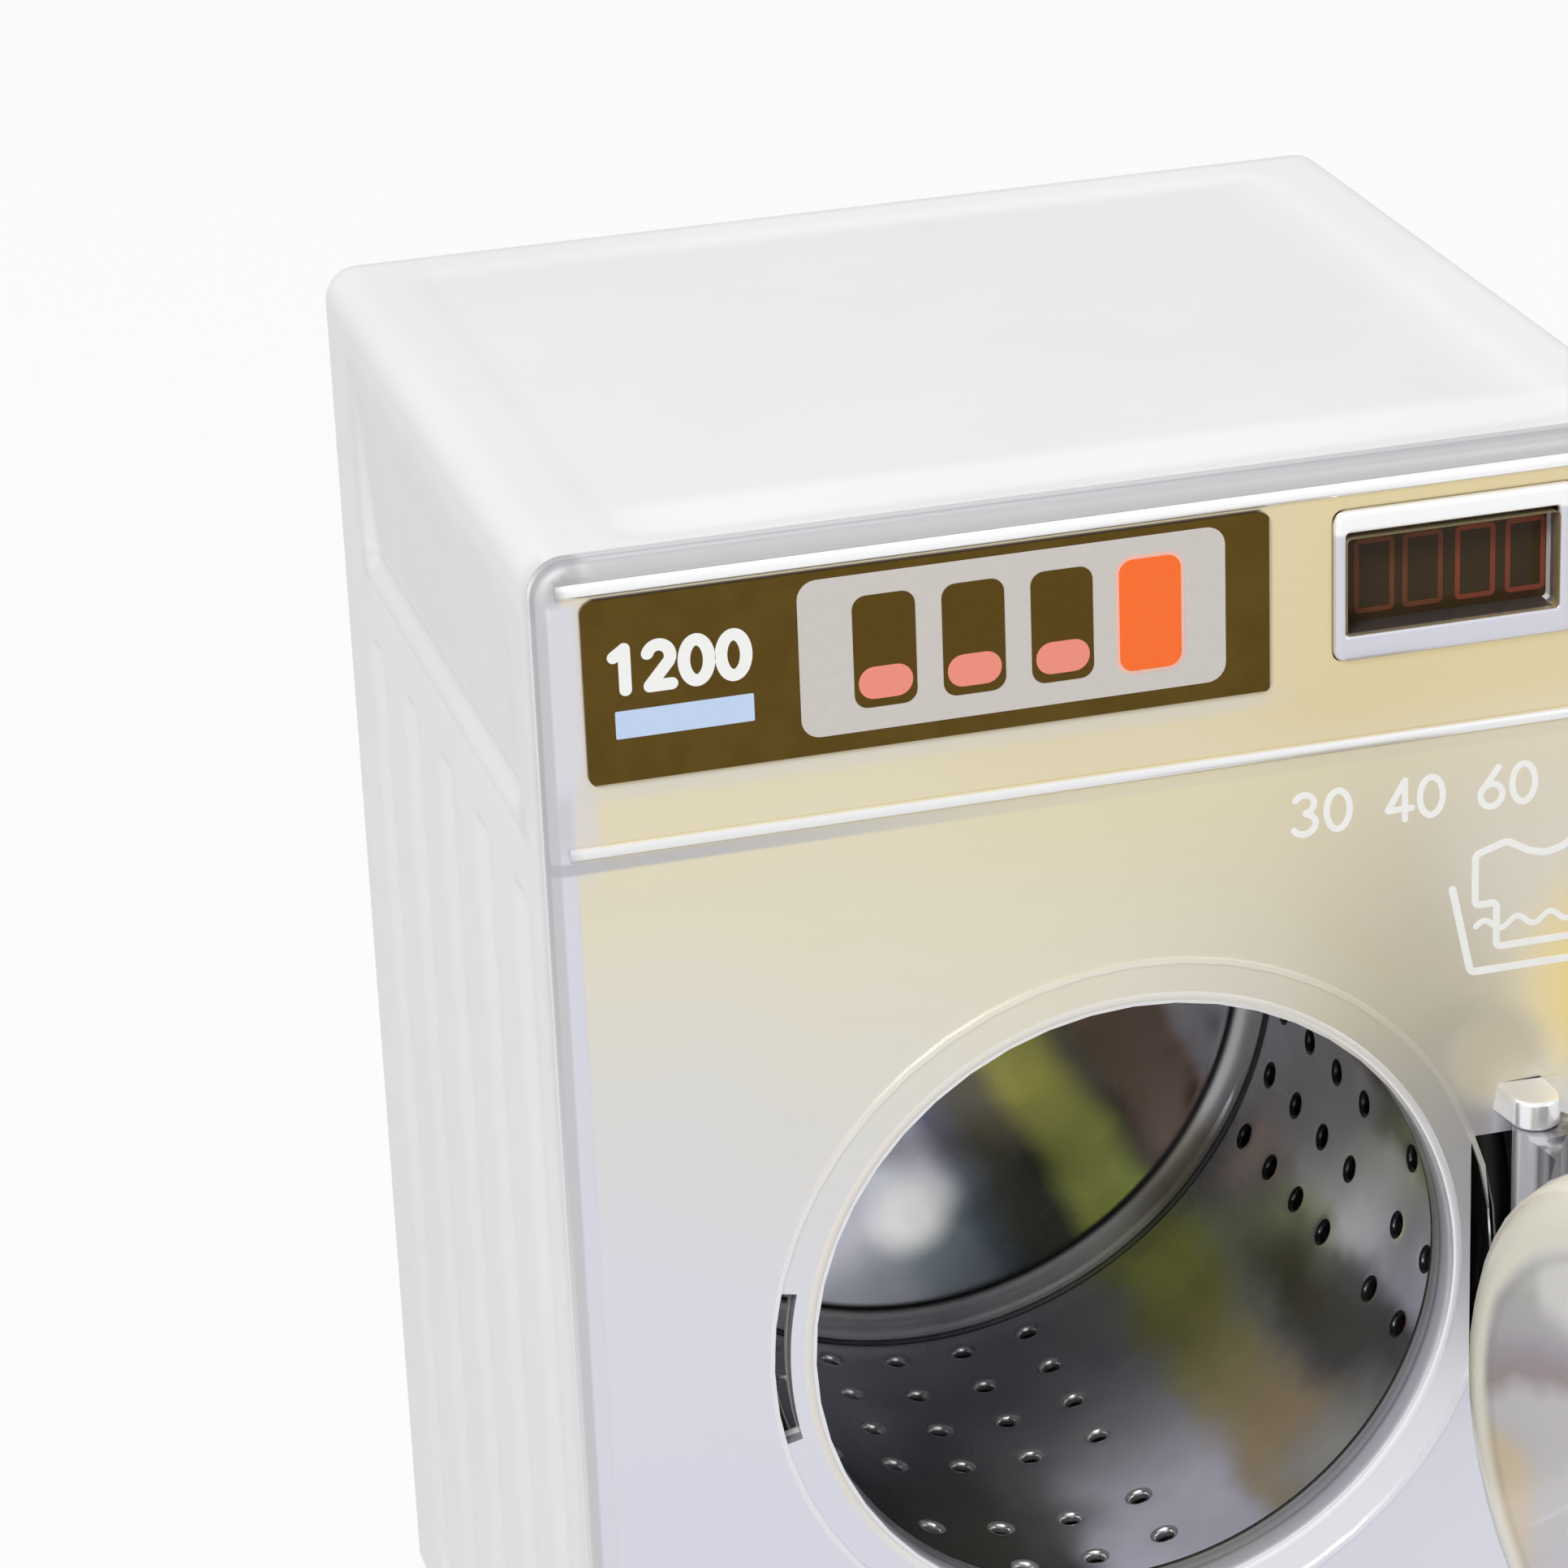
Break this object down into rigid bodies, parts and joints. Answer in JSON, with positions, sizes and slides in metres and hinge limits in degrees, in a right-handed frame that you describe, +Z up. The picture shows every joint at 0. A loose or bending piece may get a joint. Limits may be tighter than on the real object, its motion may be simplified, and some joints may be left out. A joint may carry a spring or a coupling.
{
  "type": "dollhouse washing machine",
  "caption": "Toy front-loading washing machine at doll scale: moulded cabinet, porthole door standing open, perforated drum turned by a geared motor, cells and switch behind the rear cover.",
  "frame": {"origin": "centre of the flat underside, under the middle of the cabinet", "axes": "+Z up, +Y towards the back, +X to the right as seen from the front"},
  "size_m": [0.11, 0.1782, 0.155],
  "materials": {
    "shell_white": "smooth white moulded plastic with a soft sheen",
    "panel_champagne": "satin champagne and silver metallised plastic",
    "label_brown": "printed film with a light field",
    "window_smoked": "smoked clear plastic",
    "card_brown": "printed card",
    "inner_grey": "moulded grey plastic",
    "cell_jacket": "plain printed cell jacket",
    "steel": "bright steel",
    "black_plastic": "moulded black plastic",
    "brass": "turned brass",
    "drum_dark": "dark vacuum-metallised plastic, polished",
    "gear_acetal": "natural moulded gear plastic",
    "nylon": "natural moulded plastic",
    "lead_red": "soft insulated wire",
    "lead_black": "soft insulated wire",
    "door_chrome": "bright chromed plastic",
    "bowl_clear": "clear moulded plastic"
  },
  "bodies": {
    "cabinet": {"main_shell": "shell_white", "front_panel": "panel_champagne", "control_label": "label_brown", "display_window": "window_smoked", "display_card": "card_brown", "base_plate": "inner_grey", "rear_cover": "shell_white", "battery_cover": "shell_white", "battery_cell_1": "cell_jacket", "battery_cell_2": "cell_jacket", "contact_bridge": "steel", "contact_positive": "steel", "contact_negative": "steel", "switch_body": "black_plastic", "drum_carrier": "inner_grey", "drum_bush": "brass", "idler_pin_1": "steel", "idler_pin_2": "steel", "idler_spacer": "nylon", "motor_can": "steel", "motor_end_cap": "nylon", "hinge_pin": "steel", "lead_battery_to_switch": "lead_red", "lead_switch_to_motor": "lead_red", "lead_motor_to_battery": "lead_black", "rear_screw_1": "steel", "rear_screw_2": "steel", "rear_screw_3": "steel", "rear_screw_4": "steel", "carrier_screw_1": "steel", "carrier_screw_2": "steel", "carrier_screw_3": "steel", "carrier_screw_4": "steel", "base_screw_1": "steel", "base_screw_2": "steel", "base_screw_3": "steel", "base_screw_4": "steel", "battery_cover_screw": "steel"},
    "door": {"door_frame": "door_chrome", "door_bowl": "bowl_clear", "door_retainer": "door_chrome"},
    "drum": {"drum": "drum_dark", "drum_shaft": "steel", "drum_gear": "gear_acetal"},
    "idler_1": {"idler_gear_1": "gear_acetal"},
    "idler_2": {"idler_gear_2": "gear_acetal"},
    "rotor": {"motor_shaft": "steel", "motor_pinion": "brass"},
    "switch": {"switch_slider": "black_plastic"}
  },
  "joints": [
    {"name": "door_swing", "type": "hinge", "parent": "cabinet", "child": "door", "pos_m": [0.0402, -0.052, 0.0717], "axis": [0, 0, 1], "range_deg": [-99, 16]},
    {"name": "drum_spin", "type": "hinge", "parent": "cabinet", "child": "drum", "pos_m": [0, 0, 0.0717], "axis": [0, 1, 0], "continuous": true},
    {"name": "idler_1_spin", "type": "hinge", "parent": "cabinet", "child": "idler_1", "pos_m": [0.02165, 0.036, 0.0592], "axis": [0, 1, 0], "continuous": true},
    {"name": "idler_2_spin", "type": "hinge", "parent": "cabinet", "child": "idler_2", "pos_m": [0.02026, 0.039, 0.03925], "axis": [0, 1, 0], "continuous": true},
    {"name": "motor_spin", "type": "hinge", "parent": "cabinet", "child": "rotor", "pos_m": [0.0374, 0.04, 0.02895], "axis": [0, 1, 0], "continuous": true},
    {"name": "switch_slide", "type": "slide", "parent": "cabinet", "child": "switch", "axis": [1, 0, 0], "range_m": [0, 0.004]}
  ],
  "couplings": [
    {"joint": "idler_1_spin", "follows": "drum_spin", "ratio": -4},
    {"joint": "idler_2_spin", "follows": "drum_spin", "ratio": 12},
    {"joint": "motor_spin", "follows": "drum_spin", "ratio": -36}
  ]
}
